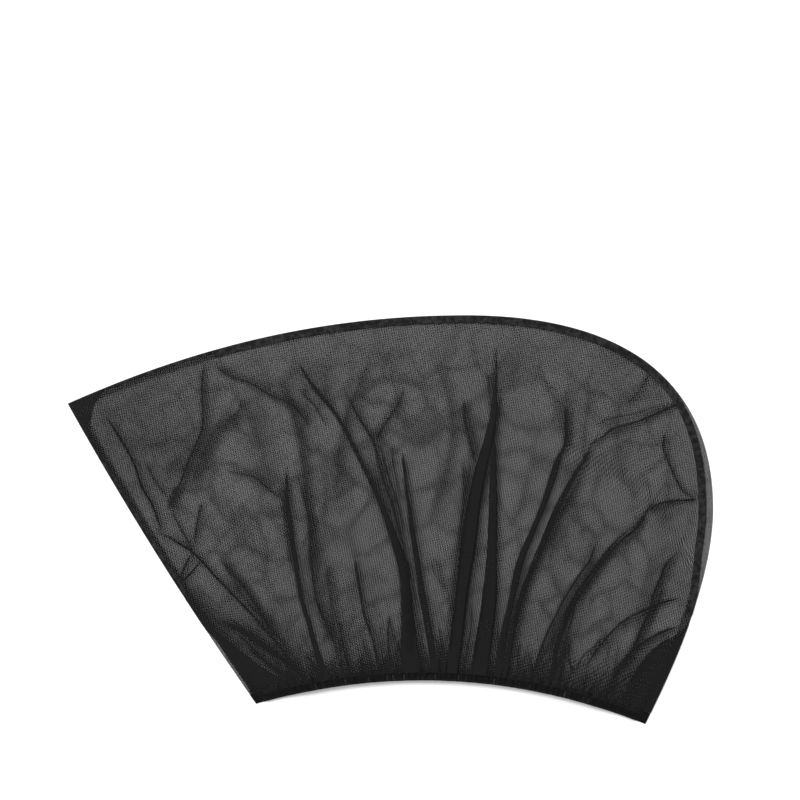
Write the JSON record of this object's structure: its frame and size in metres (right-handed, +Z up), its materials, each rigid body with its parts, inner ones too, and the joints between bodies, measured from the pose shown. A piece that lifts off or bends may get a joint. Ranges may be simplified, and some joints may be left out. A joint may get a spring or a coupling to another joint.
{
  "type": "car side window sunshade",
  "caption": "Slip-over mesh sunshade for a car side window: panels sewn round the sides and top, with a pointed corner, a round side and a gathered elastic hem, lying flat.",
  "frame": {"origin": "middle of the shade's box, on the surface that it lies on", "axes": "+X from the pointed corner towards the round side, +Y from the open hem towards the top edge, +Z up out of the front panel"},
  "size_m": [0.826, 0.5228, 0.0139],
  "materials": {
    "mesh_cloth": "fine open mesh, matt",
    "dense_cloth": "close weave, matt",
    "tape_weave": "narrow woven tape, slight sheen",
    "elastic_weave": "ribbed elastic",
    "thread": "spun thread"
  },
  "bodies": {
    "root": {"front_panel": "mesh_cloth", "back_panel": "mesh_cloth", "elastic_band": "elastic_weave", "seam_tape": "tape_weave", "point_side_binding": "tape_weave", "point_top_binding": "tape_weave", "point_patch": "dense_cloth", "hem_point_patch": "dense_cloth", "hem_round_patch": "dense_cloth"}
  },
  "joints": []
}
